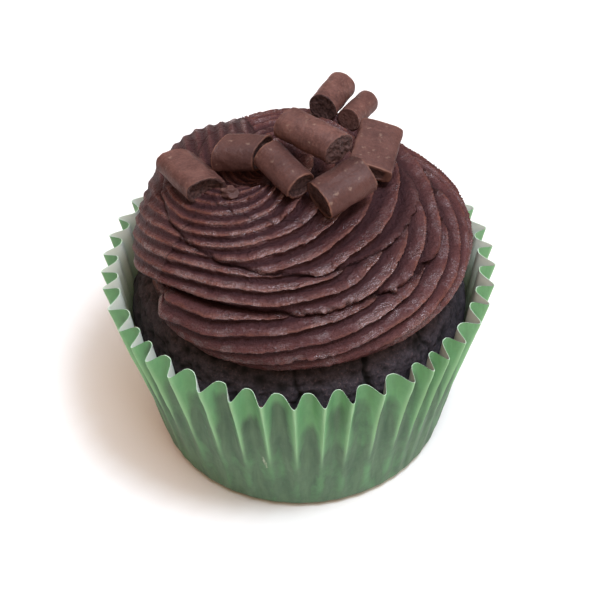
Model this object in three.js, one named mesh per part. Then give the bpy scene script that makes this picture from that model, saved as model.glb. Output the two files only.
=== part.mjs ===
// Cupcake in a pleated paper case: chocolate sponge, a piped swirl of chocolate icing and eight rolled
// chocolate curls on top. Millimetres, +Z up, foot of the case on z = 0, axis of the case on x = y = 0.
// The front of the cake faces -Y. Angles are degrees, anticlockwise from +X seen from above.
import * as THREE from 'three';

// paper case
const CASE_HEIGHT = 36.5;
const CASE_FOOT_RADIUS = 26.3;
const CASE_RIM_RADIUS = 33.9;
const CASE_CORNER = 2.0;
const CASE_CORNER_INSET = 1.1;
const PAPER = 0.4;
const PLEATS = 44;
const PLEAT_START = -208.9;
const PLEAT_DEPTH = 3.2;
const PLEAT_DEPTH_LOW = 0.3;
const PLEAT_FADE_FROM = 10;
const PLEAT_FADE_TO = 40.5;
const PLEAT_FADE_POWER = 0.9;
const PLEAT_SHARPNESS = 0.95;
const FOLD_RISE = 1.1;
const PLEAT_STEPS = [0, 0.2, 0.5, 0.8];
const PLEAT_DRIFT = [
  { turns: 1, by: 3.1, from: -94 },
  { turns: 3, by: 1.5, from: 61 },
  { turns: 8, by: 0.8, from: -12 },
  { turns: 12, by: 0.6, from: 94 },
];
const CASE_LEVELS = [2, 12, 21, 29];

// sponge
const GAP = 0.3;
const SPONGE_EDGE_Z = 29;
const SPONGE_TOP_Z = 37.9;
const SPONGE_SHOULDER = [
  [30.2, 31.6],
  [29.5, 34.2],
  [28.3, 36.3],
  [26.6, 37.6],
];
const SPONGE_TOP_RADIUS = 24;
const SPONGE_SIDES = 44;
const SPONGE_FOOT_INSET = 0.6;
const SPONGE_LEVELS = [2.3, 12, 21];
const SPONGE_SWELL = 0.25;
const SPONGE_SWELL_TURNS = [3, 5];
const SPONGE_SWELL_FROM = 40;

// piped icing
const ICING_FOOT_Z = SPONGE_TOP_Z + GAP;
const ICING_FOOT_RADIUS = 27.0;
const ICING_BELLY_RADIUS = 30.4;
const ICING_BELLY_Z = 44.2;
const ICING_RISE = 17.0;
const ICING_FULLNESS = 1.5;
const ICING_BELLY_SHIFT = [0.7, 0.0];
const ICING_TOP_SHIFT = [-4.6, 0.3];
const ICING_LEAN_POWER = 1.7;
// swells (+) and flats (-) of the mound: millimetres, angle and its spread, distance walked up and its spread
const ICING_SWELLS = [
  [1.3, 144, 19, 19, 9],
  [-1.2, 45, 20, 13, 9],
];
const ICING_WELL_PLACE = [-8.2, -1.0];
const ICING_WELL_RADII = [7.0, 3.5];
const ICING_WELL_DEPTH = 3.6;
const OUTLINE_STEPS = 400;
const TAIL_ANGLE = -150;
const TAIL_SWELL = 2.2;
const TAIL_SWELL_ANGLE = -130;
const TAIL_SWELL_POWER = 4;
const TAIL_SWELL_WALK = 10;
const FIRST_SEAM = 11.3;
const PITCH = 9.6;
const SEAM_SAG = 4.8;
const SAG_SPAN = [150, 400];
const SEAM_ARCH = 1.7;
const ARCH_SPAN = 110;
const LAP_SPAN = [-45, 15];
const LAP_LIP_SPAN = [-45, -30];
const LAP_DEEPENS = [-45, -10];
const SCALLOP = 0.7;
const SCALLOP_MIDDLE = 0.55;
const FLUTES = 14;
const FLUTE_DEPTH = 0.46;
const FLUTE_SKEW = 1.5;
const FLUTE_EDGE = 0.8;
const FLUTE_SWELL = 0.3;
const FLUTE_SWELL_PACE = 0.35;
const FLUTE_DRIFT = 0.12;
const FLUTE_DRIFT_PACE = 0.6;
const FLUTE_DRIFT_FROM = 9;
const FLUTE_JOIN_SPAN = [200, 330];
const FLUTE_JOIN_ANGLE = 120;
const FLUTE_JOIN_RISE = 3;
const SKIRT_FLUTES = 0.9;
const SEAM_DEPTH = 0.9;
const SEAM_SHARE = 0.9;
const SEAM_UNDER = 0.9;
const SEAM_OVER = 0.45;
const SEAM_OVER_POWER = 1.5;
const TAIL_SEAM_DEPTH = 3.0;
const TAIL_SEAM_SPAN = [-6, 6, 35, 62];
const FRONT_SEAM_DEPTH = 0.9;
const FRONT_SEAM_SPAN = [30, 60, 95, 125];
const LAST_SEAM_LOSS = 0.5;
const LAST_SEAM_SPAN = [560, 640];
const TAIL_INSET = 2.2;
const TAIL_INSET_SPAN = 8;
const LAP_INSET = 2.6;
const LAP_INSET_SPAN = [325, 350];
const FOOT_BLEND = [-0.4, 0.7];
const CROWN_BLEND = 6;
const ICING_COLUMNS = 66;
const ICING_STEP = 0.7;
const ICING_TOP_ROWS = 7;
const ICING_TOP_SPAN = 8.4;
// each turn of the rope: level its flutes are set out from, their sway round the cake and flutes a millimetre
const ROPES = [
  { level: 11.0, sway: [-2.1, 0.47, -1.85, 0.65, 0.17], crowding: [0.316, 0.044, -0.026] },
  { level: 17.5, sway: [1.52, -0.78, 2.39, -0.7, -0.87], crowding: [0.348, -0.025, -0.052] },
  { level: 25.0, sway: [1.4, 0.03, 2.14, -0.06, 0.07], crowding: [0.364, -0.086, 0.001] },
];

// chocolate curls: rolled sheets lying on the icing, two of them standing in it
const CURL_SIDES = 13;
const CURL_LAP = 0.14;
const CURL_EDGE_ANGLE = 100;
const CURL_TURN = 352;
const CURL_DIMPLE = 0.45;
const CURL_DIMPLE_DEPTH = 0.9;
const PRESS_CLEARANCE = 0.7;
const PRESS_STEP = 0.08;
const PRESS_STEPS = 90;
const PRESS_LEAST_DROP = 0.2;
// where each lies, which way it points, how far its far end is raised, its length, width and height, then its
// roll about its own length and how far its ends slant
const CURLS = [
  { at: [-18.3, -1.3, 59.6], heading: -56, tilt: 2, size: [10, 7, 5.6], roll: 0, slant: 0 },
  { at: [-9.1, 1.2, 62.2], heading: -8, tilt: 4, size: [7.2, 6.4, 6], roll: 0, slant: 1.5 },
  { at: [-2, -4.6, 63.2], heading: -52, tilt: -8, size: [9.2, 6.2, 6], roll: 0, slant: 0 },
  { at: [3, -1, 67.7], heading: -37, tilt: -3, size: [11, 6.2, 6], roll: 0, slant: 0 },
  { at: [7.8, -7.9, 62.0], heading: 33, tilt: 9, size: [9.6, 7.6, 6.6], roll: 0, slant: 0 },
  { at: [14, 4.9, 58.9], heading: -104, tilt: -4, size: [11, 8.1, 3.4], roll: -12, slant: 0 },
  { at: [6.7, 19.9, 58.8], heading: 64, tilt: -7, size: [8.5, 5.5, 5.5], roll: 0, slant: 0 },
  { at: [11.3, 18.0, 56.9], heading: 62, tilt: -12, size: [8, 4.4, 4.4], roll: 0, slant: 0 },
];

const GREEN_PAPER = 0x4f9e5c;
const DARK_SPONGE = 0x1d1315;
const CHOCOLATE_ICING = 0x4a2622;
const CURL_CHOCOLATE = 0x4b2e26;
const PAPER_ROUGHNESS = 0.75;
const SPONGE_ROUGHNESS = 0.9;
const ICING_ROUGHNESS = 0.45;
const CURL_ROUGHNESS = 0.6;

const FULL = 360;
const JOIN_WITHIN = 0.002;
const radians = (degrees) => (degrees * Math.PI) / 180;
const clamp = (value, low, high) => Math.min(high, Math.max(low, value));
const mix = (a, b, share) => a + (b - a) * share;

function smooth(from, to, value) {
  const t = clamp((value - from) / (to - from), 0, 1);
  return t * t * (3 - 2 * t);
}

// closed solid from points and triangles: equal points are joined and triangles that vanish are left out
function solid(name, points, triangles, colour, roughness) {
  const seen = new Map();
  const kept = [];
  const at = points.map((point) => {
    const key = point.map((value) => Math.round(value / JOIN_WITHIN)).join(',');
    if (!seen.has(key)) {
      seen.set(key, kept.length);
      kept.push(point);
    }
    return seen.get(key);
  });
  const index = [];
  for (const [a, b, c] of triangles) {
    const [i, j, k] = [at[a], at[b], at[c]];
    if (i !== j && j !== k && k !== i) {
      index.push(i, j, k);
    }
  }
  const geometry = new THREE.BufferGeometry();
  geometry.setAttribute('position', new THREE.Float32BufferAttribute(kept.flat(), 3));
  geometry.setIndex(index);
  const flat = geometry.toNonIndexed();
  flat.computeVertexNormals();
  const material = new THREE.MeshStandardMaterial({ color: colour, roughness });
  const mesh = new THREE.Mesh(flat, material);
  mesh.name = name;
  return mesh;
}

// triangles between rings of equal length, listed from the outside bottom up and over, faces out
function skin(rings) {
  const count = rings[0].length;
  const points = rings.flat();
  const triangles = [];
  for (let row = 0; row + 1 < rings.length; row += 1) {
    for (let i = 0; i < count; i += 1) {
      const next = (i + 1) % count;
      const a = row * count + i;
      const b = row * count + next;
      const c = (row + 1) * count + next;
      const d = (row + 1) * count + i;
      triangles.push([a, b, c], [a, c, d]);
    }
  }
  return { points, triangles };
}

function ringAt(radiusOf, heightOf, angles) {
  return angles.map((angle) => {
    const r = radiusOf(angle);
    return [r * Math.cos(radians(angle)), r * Math.sin(radians(angle)), heightOf(angle)];
  });
}

// ---- paper case -------------------------------------------------------------------------------------

function pleatAngle(place) {
  const turn = (place * FULL) / PLEATS;
  let angle = PLEAT_START + turn;
  for (const drift of PLEAT_DRIFT) {
    angle += drift.by * Math.sin(radians(drift.turns * turn + drift.from));
  }
  return angle;
}

// 1 on the sharp outward crest of a pleat, 0 in the broad inward fold
function pleatWave(share) {
  return 1 - Math.sin(Math.PI * share) ** PLEAT_SHARPNESS;
}

function caseMeanRadius(z) {
  const flare = mix(CASE_FOOT_RADIUS, CASE_RIM_RADIUS, z / CASE_HEIGHT);
  const corner = clamp(1 - z / CASE_CORNER, 0, 1);
  return flare - CASE_CORNER_INSET * corner * corner;
}

function pleatDepth(z) {
  const share = smooth(PLEAT_FADE_FROM, PLEAT_FADE_TO, z) ** PLEAT_FADE_POWER;
  return mix(PLEAT_DEPTH_LOW, PLEAT_DEPTH, share);
}

function paperCase() {
  const stations = [];
  for (let pleat = 0; pleat < PLEATS; pleat += 1) {
    const here = pleatAngle(pleat);
    const next = pleatAngle(pleat + 1);
    for (const share of PLEAT_STEPS) {
      stations.push({ angle: mix(here, next, share), wave: pleatWave(share) });
    }
  }
  const ring = (z, inset, rise) =>
    stations.map(({ angle, wave }) => {
      const r = caseMeanRadius(z) + pleatDepth(z) * (wave - 0.5) - inset;
      const height = z + rise * (1 - wave);
      return [r * Math.cos(radians(angle)), r * Math.sin(radians(angle)), height];
    });
  const flatRing = (z, height, inset) => ring(z, inset, 0).map(([x, y]) => [x, y, height]);
  const centre = (z) => stations.map(() => [0, 0, z]);
  const outside = CASE_LEVELS.map((z) => ring(z, 0, 0));
  const inside = CASE_LEVELS.map((z) => ring(z, PAPER, 0)).reverse();
  const rings = [
    centre(0),
    flatRing(0, 0, 0),
    ...outside,
    ring(CASE_HEIGHT, 0, FOLD_RISE),
    ring(CASE_HEIGHT, PAPER, FOLD_RISE),
    ...inside,
    flatRing(0, PAPER, PAPER),
    centre(PAPER),
  ];
  const { points, triangles } = skin(rings);
  return solid('paper_case', points, triangles, GREEN_PAPER, PAPER_ROUGHNESS);
}

// ---- sponge -----------------------------------------------------------------------------------------

function sponge() {
  const angles = Array.from({ length: SPONGE_SIDES }, (_, i) => (i * FULL) / SPONGE_SIDES);
  const fold = (z) => caseMeanRadius(z) - pleatDepth(z) / 2 - PAPER - GAP;
  const [slow, quick] = SPONGE_SWELL_TURNS;
  const swell = (angle) =>
    SPONGE_SWELL *
    (Math.sin(radians(slow * angle + SPONGE_SWELL_FROM)) * Math.cos(radians(quick * angle)) - 1);
  const foot = PAPER + GAP;
  const wall = [...SPONGE_LEVELS, SPONGE_EDGE_Z];
  const rings = [
    ringAt(() => 0, () => foot, angles),
    ringAt(() => fold(foot) - SPONGE_FOOT_INSET, () => foot, angles),
    ...wall.map((z) => ringAt(() => fold(z), () => z, angles)),
    ...SPONGE_SHOULDER.map(([r, z]) => ringAt((angle) => r + swell(angle), () => z, angles)),
    ringAt(() => SPONGE_TOP_RADIUS, () => SPONGE_TOP_Z, angles),
    ringAt(() => 0, () => SPONGE_TOP_Z, angles),
  ];
  const { points, triangles } = skin(rings);
  return solid('sponge', points, triangles, DARK_SPONGE, SPONGE_ROUGHNESS);
}

// ---- piped icing ------------------------------------------------------------------------------------

// outline of the mound, as radius and height against the distance walked up it from the lower edge
function moundOutline() {
  const outline = [];
  for (let i = 0; i <= OUTLINE_STEPS; i += 1) {
    const t = i / OUTLINE_STEPS;
    const r = ICING_BELLY_RADIUS - (ICING_BELLY_RADIUS - ICING_FOOT_RADIUS) * (1 - t) ** 2;
    outline.push({ r, z: mix(ICING_FOOT_Z, ICING_BELLY_Z, t) });
  }
  for (let i = 1; i <= 3 * OUTLINE_STEPS; i += 1) {
    const lift = Math.sin((i / (3 * OUTLINE_STEPS)) * (Math.PI / 2));
    const r = ICING_BELLY_RADIUS * Math.sqrt(Math.max(0, 1 - lift ** ICING_FULLNESS));
    outline.push({ r, z: ICING_BELLY_Z + ICING_RISE * lift });
  }
  let walked = 0;
  outline.forEach((point, i) => {
    if (i > 0) {
      walked += Math.hypot(point.r - outline[i - 1].r, point.z - outline[i - 1].z);
    }
    point.walk = walked;
  });
  return outline;
}

const MOUND = moundOutline();
const MOUND_WALK = MOUND[MOUND.length - 1].walk;

function moundAt(walk) {
  let low = 0;
  let high = MOUND.length - 1;
  while (high - low > 1) {
    const middle = (low + high) >> 1;
    if (MOUND[middle].walk <= walk) {
      low = middle;
    } else {
      high = middle;
    }
  }
  const a = MOUND[low];
  const b = MOUND[high];
  const share = clamp((walk - a.walk) / (b.walk - a.walk), 0, 1);
  const span = Math.hypot(b.r - a.r, b.z - a.z);
  return {
    r: mix(a.r, b.r, share),
    z: mix(a.z, b.z, share),
    out: (b.z - a.z) / span,
    up: (a.r - b.r) / span,
  };
}

// height of the seam under the rope, against the degrees of rope piped since its tail; just before the tail
// it climbs steeply from the foot, where the rope laps over its own start
function seam(piped) {
  const lap = FIRST_SEAM * (1 - smooth(...LAP_SPAN, piped)) + (1 - smooth(...LAP_LIP_SPAN, piped));
  const sag = (SEAM_SAG / 2) * smooth(...SAG_SPAN, piped) * (1 - Math.cos(radians(piped)));
  const arch = SEAM_ARCH * Math.sin((Math.PI * clamp(piped, 0, ARCH_SPAN)) / ARCH_SPAN);
  return FIRST_SEAM + (PITCH * Math.max(piped, 0)) / FULL - sag + arch - lap;
}

function ropeNumber(turn) {
  return clamp(turn, 0, ROPES.length - 1);
}

function fluteCrowding(turn, angle) {
  const [even, cosine, sine] = ROPES[ropeNumber(turn)].crowding;
  return even + cosine * Math.cos(radians(angle)) + sine * Math.sin(radians(angle));
}

// counts the flutes of one turn of rope: whole numbers are crests
function fluteCount(turn, angle, walk) {
  const rope = ROPES[ropeNumber(turn)];
  const t = radians(angle);
  const [even, c1, s1, c2, s2] = rope.sway;
  const once = c1 * Math.cos(t) + s1 * Math.sin(t);
  const twice = c2 * Math.cos(2 * t) + s2 * Math.sin(2 * t);
  return even + once + twice + (walk - rope.level) * fluteCrowding(turn, angle) - (FLUTES * angle) / FULL;
}

// whole number of flutes that joins one turn to the next where both are out of sight
function fluteJoin(turn) {
  const level = ROPES[ropeNumber(turn)].level + FLUTE_JOIN_RISE;
  const here = fluteCount(turn, FLUTE_JOIN_ANGLE, level);
  const next = fluteCount(turn + 1, FLUTE_JOIN_ANGLE, level);
  return Math.round(here - next);
}

function fluteAlong(turn, piped, angle, walk) {
  const share = smooth(...FLUTE_JOIN_SPAN, piped);
  const here = fluteCount(turn, angle, walk);
  const next = fluteCount(turn + 1, angle, walk) + fluteJoin(turn);
  return mix(here, next, share);
}

function groove(count, skew) {
  const share = count - Math.floor(count);
  return Math.abs(Math.sin(Math.PI * share ** skew)) ** FLUTE_EDGE;
}

// lower edge of a turn of rope, scalloped by its own flutes
function ropeEdge(turn, piped, angle) {
  const level = seam(piped + FULL * (turn - 1));
  return level + SCALLOP * (groove(fluteAlong(turn, piped, angle, level), 1) - SCALLOP_MIDDLE);
}

// 0 outside a span of four values, 1 between its middle two
function within([from, full, fading, to], value) {
  return smooth(from, full, value) * (1 - smooth(fading, to, value));
}

function seamDepth(piped) {
  const tail = TAIL_SEAM_DEPTH * within(TAIL_SEAM_SPAN, piped);
  const front = FRONT_SEAM_DEPTH * within(FRONT_SEAM_SPAN, piped);
  return SEAM_DEPTH + tail + front - LAST_SEAM_LOSS * smooth(...LAST_SEAM_SPAN, piped);
}

// smooth hills and hollows between -1 and 1, about 2 pi / pace millimetres long
function unevenness(x, y, z, pace) {
  const a = Math.sin(pace * x + 1.3 * Math.sin(0.7 * pace * y + 0.5));
  const b = Math.sin(0.9 * pace * y + 1.1 * Math.sin(0.8 * pace * z + 2));
  const c = Math.sin(1.1 * pace * z + 1.2 * Math.sin(0.6 * pace * x + 4));
  return (a + b + c) / 3;
}

// how far the mound is fuller (+) or flatter (-) there than a true round one
function icingSwell(angle, walk) {
  return ICING_SWELLS.reduce((sum, [amount, middle, spread, level, reach]) => {
    return sum + amount * Math.exp(-(((angle - middle) / spread) ** 2) - ((walk - level) / reach) ** 2);
  }, 0);
}

// depth of the hollow in the top of the icing, under the middle curls
function icingWell(x, y) {
  const dx = (x - ICING_WELL_PLACE[0]) / ICING_WELL_RADII[0];
  const dy = (y - ICING_WELL_PLACE[1]) / ICING_WELL_RADII[1];
  return ICING_WELL_DEPTH * Math.exp(-((dx * dx + dy * dy) ** 2));
}

// point of the icing at an angle round the cake and a distance walked up the mound
function icingPoint(angle, walk) {
  const piped = angle - TAIL_ANGLE;
  const edges = [0, 1, 2, 3, 4].map((turn) => ropeEdge(turn, piped, angle));
  let turn = -1;
  edges.forEach((edge, i) => {
    if (walk >= edge) {
      turn = i;
    }
  });
  const above = turn + 1 < edges.length ? edges[turn + 1] - walk : Infinity;
  const below = turn >= 0 ? walk - edges[turn] : Infinity;
  const base = moundAt(walk);
  const lean = clamp((base.z - ICING_BELLY_Z) / ICING_RISE, 0, 1) ** ICING_LEAN_POWER;
  const direction = [Math.cos(radians(angle)), Math.sin(radians(angle))];
  const nearTail = ((1 + Math.cos(radians(angle - TAIL_SWELL_ANGLE))) / 2) ** TAIL_SWELL_POWER;
  const r = base.r + TAIL_SWELL * nearTail * (1 - smooth(0, TAIL_SWELL_WALK, walk));
  const x = mix(ICING_BELLY_SHIFT[0], ICING_TOP_SHIFT[0], lean) + r * direction[0];
  const y = mix(ICING_BELLY_SHIFT[1], ICING_TOP_SHIFT[1], lean) + r * direction[1];
  const total = piped + FULL * (turn - 1);
  const joining = smooth(...FLUTE_JOIN_SPAN, piped);
  const crowding = mix(fluteCrowding(turn, angle), fluteCrowding(turn + 1, angle), joining);
  const depth = (FLUTE_DEPTH / crowding) * (1 + FLUTE_SWELL * unevenness(x, y, base.z, FLUTE_SWELL_PACE));
  const drift = FLUTE_DRIFT * unevenness(x + FLUTE_DRIFT_FROM, y, base.z, FLUTE_DRIFT_PACE);
  const count = turn < 0 ? fluteCount(0, angle, walk) : fluteAlong(turn, piped, angle, walk);
  let sunk = depth * groove(count + drift, FLUTE_SKEW) * (turn < 0 ? SKIRT_FLUTES : 1);
  sunk += SEAM_SHARE * seamDepth(total + FULL) * Math.exp(-above / SEAM_UNDER);
  const lapping = turn === 0 ? smooth(...LAP_DEEPENS, total) : 1;
  sunk += SEAM_SHARE * seamDepth(total) * Math.exp(-((below / SEAM_OVER) ** SEAM_OVER_POWER)) * lapping;
  if (turn === 0 && piped < FULL / 2) {
    sunk += TAIL_INSET * (1 - smooth(0, TAIL_INSET_SPAN, piped));
  }
  if (turn < 0) {
    sunk += LAP_INSET * smooth(...LAP_INSET_SPAN, piped);
  }
  sunk *= smooth(...FOOT_BLEND, walk) * (1 - smooth(MOUND_WALK - CROWN_BLEND, MOUND_WALK, walk));
  if (walk <= 0) {
    sunk = 0;
  } else {
    sunk += icingWell(x, y) - icingSwell(angle, walk);
  }
  return {
    point: [x - sunk * base.out * direction[0], y - sunk * base.out * direction[1], base.z - sunk * base.up],
    inward: [-base.out * direction[0], -base.out * direction[1], -Math.max(base.up, PRESS_LEAST_DROP)],
  };
}

// ---- chocolate curls --------------------------------------------------------------------------------

function curlFrame(curl) {
  const heading = radians(curl.heading);
  const tilt = radians(curl.tilt);
  const along = new THREE.Vector3(
    Math.cos(tilt) * Math.cos(heading),
    Math.cos(tilt) * Math.sin(heading),
    Math.sin(tilt),
  );
  const side = new THREE.Vector3().crossVectors(new THREE.Vector3(0, 0, 1), along).normalize();
  const up = new THREE.Vector3().crossVectors(along, side);
  side.applyAxisAngle(along, radians(curl.roll));
  up.applyAxisAngle(along, radians(curl.roll));
  return { centre: new THREE.Vector3(...curl.at), along, side, up };
}

// icing gives way under the curls: a point inside one, or nearly so, is pushed back into the mound
function pressed({ point, inward }, frames) {
  const place = new THREE.Vector3(...point);
  const back = new THREE.Vector3(...inward).normalize().multiplyScalar(PRESS_STEP);
  const touches = ({ frame, curl }) => {
    const from = place.clone().sub(frame.centre);
    const [length, width, height] = curl.size;
    const side = from.dot(frame.side) / (width / 2 + PRESS_CLEARANCE);
    const up = from.dot(frame.up) / (height / 2 + PRESS_CLEARANCE);
    const along = Math.abs(from.dot(frame.along) - curl.slant * side);
    return along < length / 2 + PRESS_CLEARANCE && side * side + up * up < 1;
  };
  for (let step = 0; step < PRESS_STEPS && frames.some(touches); step += 1) {
    place.add(back);
  }
  return place.toArray();
}

function icing() {
  const frames = CURLS.map((curl) => ({ curl, frame: curlFrame(curl) }));
  const levels = [];
  for (let walk = 0; walk < MOUND_WALK - ICING_TOP_SPAN; walk += ICING_STEP) {
    levels.push(walk);
  }
  for (let row = 0; row < ICING_TOP_ROWS; row += 1) {
    levels.push(MOUND_WALK - ICING_TOP_SPAN * (1 - row / ICING_TOP_ROWS));
  }
  const angles = Array.from({ length: ICING_COLUMNS }, (_, i) => TAIL_ANGLE + (i * FULL) / ICING_COLUMNS);
  const foot = [ICING_BELLY_SHIFT[0], ICING_BELLY_SHIFT[1], ICING_FOOT_Z];
  const crown = pressed(icingPoint(TAIL_ANGLE, MOUND_WALK), frames);
  const rings = [
    angles.map(() => foot),
    ...levels.map((walk) => angles.map((angle) => pressed(icingPoint(angle, walk), frames))),
    angles.map(() => crown),
  ];
  const { points, triangles } = skin(rings);
  return solid('icing', points, triangles, CHOCOLATE_ICING, ICING_ROUGHNESS);
}

// rolled sheet: the section grows a little round the turn and steps back where the free edge lies
function curlMesh(curl, number) {
  const { centre, along, side, up } = curlFrame(curl);
  const [length, width, height] = curl.size;
  const section = (scale) =>
    Array.from({ length: CURL_SIDES }, (_, i) => {
      const turn = i / (CURL_SIDES - 1);
      const angle = radians(CURL_EDGE_ANGLE + CURL_TURN * turn);
      const grow = (1 - CURL_LAP * (1 - turn)) * scale;
      return [(grow * Math.cos(angle) * width) / 2, (grow * Math.sin(angle) * height) / 2];
    });
  const ring = (distance, scale) =>
    section(scale).map(([s, u]) => {
      const a = distance + (curl.slant * s * 2) / width;
      const place = centre.clone().addScaledVector(along, a).addScaledVector(side, s);
      return place.addScaledVector(up, u).toArray();
    });
  const half = length / 2;
  const rings = [
    ring(CURL_DIMPLE_DEPTH - half, 0),
    ring(-half, CURL_DIMPLE),
    ring(-half, 1),
    ring(half, 1),
    ring(half, CURL_DIMPLE),
    ring(half - CURL_DIMPLE_DEPTH, 0),
  ];
  const { points, triangles } = skin(rings);
  return solid(`curl_${number + 1}`, points, triangles, CURL_CHOCOLATE, CURL_ROUGHNESS);
}

const cupcake = new THREE.Group();
cupcake.name = 'cupcake';
cupcake.add(paperCase(), sponge(), icing(), ...CURLS.map(curlMesh));
export default cupcake;
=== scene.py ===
"""Chocolate cupcake in a green pleated paper case, with a piped swirl of chocolate icing and eight rolled
chocolate curls. Shapes are worked out in millimetres and go into the meshes in metres. +Z is up, the axis of
the case is x = y = 0 and the front faces -Y. Angles are degrees, anticlockwise from +X seen from above."""

import bpy
import numpy as np
from mathutils import Matrix, Vector


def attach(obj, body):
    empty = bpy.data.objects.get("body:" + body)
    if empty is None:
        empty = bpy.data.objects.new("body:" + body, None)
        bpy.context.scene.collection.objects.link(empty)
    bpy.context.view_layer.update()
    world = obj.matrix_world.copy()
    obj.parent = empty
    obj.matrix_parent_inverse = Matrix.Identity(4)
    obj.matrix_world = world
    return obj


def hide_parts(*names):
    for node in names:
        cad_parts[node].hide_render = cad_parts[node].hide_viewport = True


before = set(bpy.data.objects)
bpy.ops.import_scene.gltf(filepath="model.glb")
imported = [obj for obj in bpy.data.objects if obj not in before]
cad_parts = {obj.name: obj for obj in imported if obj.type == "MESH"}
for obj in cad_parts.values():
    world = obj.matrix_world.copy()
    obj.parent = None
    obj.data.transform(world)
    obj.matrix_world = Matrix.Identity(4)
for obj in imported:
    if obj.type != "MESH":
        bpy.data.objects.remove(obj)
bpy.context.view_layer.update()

# ---- Camera ----
# The view of the finished cupcake. The camera stands about 0.4 m from it, in front and above, and looks down at
# 45 degrees through a long lens, turned a little about its own axis.
CAMERA_FALL = np.radians(45.12)
CAMERA_ROLL = np.radians(-1.307)
CAMERA_PLACE = (0.000162, -0.283700, 0.312130)
SENSOR_WIDTH = 36
FOCAL_LENGTH = 132
ahead = np.array([0.0, np.cos(CAMERA_FALL), -np.sin(CAMERA_FALL)])
level = np.array([1.0, 0.0, 0.0])
overhead = np.cross(level, ahead)
right = np.cos(CAMERA_ROLL) * level + np.sin(CAMERA_ROLL) * overhead
top = np.cos(CAMERA_ROLL) * overhead - np.sin(CAMERA_ROLL) * level
lens = bpy.data.cameras.new("camera")
lens.sensor_width = SENSOR_WIDTH
lens.lens = FOCAL_LENGTH
camera = bpy.data.objects.new("camera", lens)
bpy.context.scene.collection.objects.link(camera)
turned = np.eye(4)
turned[:3] = np.stack([right, top, -ahead, CAMERA_PLACE], axis=1)
camera.matrix_world = Matrix(turned.tolist())
bpy.context.scene.camera = camera

# ---- Floor and light ----
# A plain white table, a big soft lamp high on the right in front with a brighter pane in it, and weak warm
# lamps all round, as from pale walls.
FLOOR_SIDE = 4.0
FLOOR_WHITE = (0.85, 0.82, 0.80)
LAMP_AIM = (0, 0, 0.03)
# Each lamp's place in metres, the side of its square, its watts and its colour. All point at the cupcake.
LAMPS = (
    ("window", (0.157, -0.157, 0.641), 0.50, 3.8, (0.68, 0.84, 1.0)),
    ("bright_pane", (0.165, -0.165, 0.675), 0.13, 3.0, (0.72, 0.86, 1.0)),
    ("front_wall", (0.0, -0.418, 0.528), 0.50, 1.7, (1.0, 0.68, 0.42)),
    ("right_wall", (0.589, 0.0, 0.305), 0.50, 1.6, (1.0, 0.71, 0.56)),
    ("back_wall", (0.0, 0.418, 0.528), 0.50, 1.0, (1.0, 0.93, 0.86)),
    ("left_wall", (-0.417, 0.417, 0.305), 0.50, 2.0, (1.0, 0.66, 0.55)),
)
ROOM_COLOUR = (1.0, 0.85, 0.75)
ROOM_STRENGTH = 0.08


def plain_material(name, colour, roughness, specular=0.5):
    """A material with one Principled shader; returns the material, its node tree and the shader."""
    material = bpy.data.materials.new(name)
    material.use_nodes = True
    tree = material.node_tree
    shader = tree.nodes["Principled BSDF"]
    shader.inputs["Base Color"].default_value = (*colour, 1)
    shader.inputs["Roughness"].default_value = roughness
    shader.inputs["Specular IOR Level"].default_value = specular
    return material, tree, shader


floor_mesh = bpy.data.meshes.new("floor")
half = FLOOR_SIDE / 2
floor_corners = [(-half, -half, 0), (half, -half, 0), (half, half, 0), (-half, half, 0)]
floor_mesh.from_pydata(floor_corners, [], [(0, 1, 2, 3)])
floor = bpy.data.objects.new("floor", floor_mesh)
bpy.context.scene.collection.objects.link(floor)
floor_white, _, _ = plain_material("floor_white", FLOOR_WHITE, 0.7)
floor_mesh.materials.append(floor_white)

for name, place, side, watts, colour in LAMPS:
    light = bpy.data.lights.new(name, "AREA")
    light.size = side
    light.energy = watts
    light.color = colour
    lamp = bpy.data.objects.new(name, light)
    bpy.context.scene.collection.objects.link(lamp)
    lamp.location = place
    lamp.rotation_euler = (Vector(LAMP_AIM) - Vector(place)).to_track_quat("-Z", "Y").to_euler()
room = bpy.data.worlds.new("room")
bpy.context.scene.world = room
room.use_nodes = True
background = room.node_tree.nodes["Background"]
background.inputs["Color"].default_value = (*ROOM_COLOUR, 1)
background.inputs["Strength"].default_value = ROOM_STRENGTH
bpy.context.scene.view_settings.view_transform = "Standard"

# ---- Paper case ----
# A baking case pressed from one disc of thin paper, dyed green outside and left pale inside. Its 44 pleats have
# sharp creases outside and broad folds inside, and fade out half way down, where the cake fills them.
CASE_HEIGHT = 36.5
CASE_FOOT_RADIUS = 26.3
CASE_RIM_RADIUS = 33.9
CASE_CORNER = 2.0
CASE_CORNER_INSET = 1.1
PAPER = 0.14
CAD_PAPER = 0.4
GAP = 0.3
PLEATS = 44
PLEAT_START = -208.9
# Waves by which the creases stray from an even spacing: how many round the case, how far in degrees, and where
# each starts. These numbers came out of another program, a fit.
PLEAT_DRIFT = ((1, 3.1, -94), (3, 1.5, 61), (8, 0.8, -12), (12, 0.6, 94))
PLEAT_DEPTH = 3.2
PLEAT_DEPTH_LOW = 0.3
PITCH_RADIUS = 33
PLEAT_PITCH = 2 * np.pi * PITCH_RADIUS / PLEATS
FOLD_RISE = 1.1
RIM_SPAN = (0.04, 1.04)
# Heights between which the pleats begin, deepen and sharpen, and the creases flatten towards the rim and show.
PLEATS_BEGIN = (-1, 5)
PLEATS_DEEPEN = (10, 40.5)
PLEATS_SHARPEN = (11, 24)
CREASES_FLATTEN = (27, 35)
CREASES_SHOW = (12, 24)
# Radii of the drums from which the paper's creasing and its blots are read, and how deep the creasing is.
PAPER_RADIUS = 30
BLOT_RADIUS = 33
CREASED_DEPTHS = (0.10, 0.05)
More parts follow.
